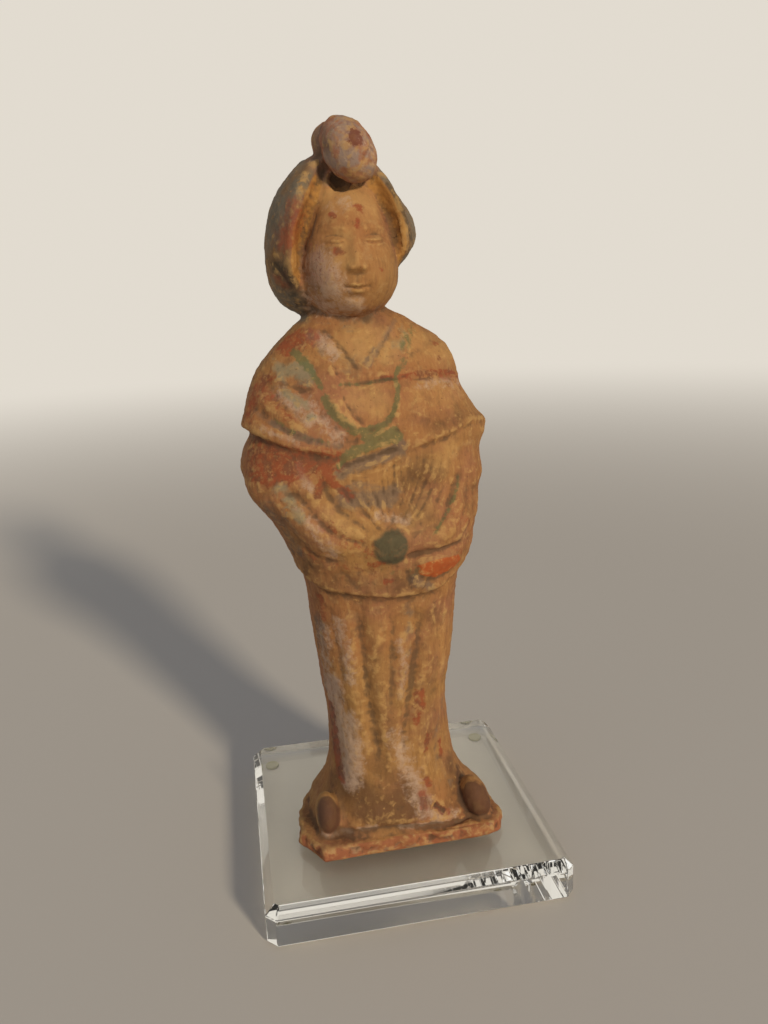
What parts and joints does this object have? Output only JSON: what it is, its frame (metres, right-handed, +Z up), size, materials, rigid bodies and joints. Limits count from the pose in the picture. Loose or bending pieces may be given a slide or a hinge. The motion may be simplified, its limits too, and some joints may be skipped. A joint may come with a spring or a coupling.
{
  "type": "terracotta ancestor figure on a clear display base",
  "caption": "Standing terracotta lady with swept-up hair, shawl and long robe, hands joined under the sleeves, resting on a clear bevelled square base with small bumpers.",
  "frame": {"origin": "centre of the square base on the surface it stands on, level with the underside of the bumpers", "axes": "+Z up, the figure faces -Y, +X to the right of someone facing the figure"},
  "size_m": [0.1524, 0.1524, 0.3686],
  "materials": {
    "terracotta": "matte orange-brown fired clay with pale slip, red and green paint remains and dirt",
    "clear_acrylic": "polished clear",
    "bumper": "satin translucent olive-yellow"
  },
  "bodies": {
    "root": {"figure": "terracotta", "acrylic_base": "clear_acrylic", "bumper_front_left": "bumper", "bumper_front_right": "bumper", "bumper_back_left": "bumper", "bumper_back_right": "bumper"}
  },
  "joints": []
}
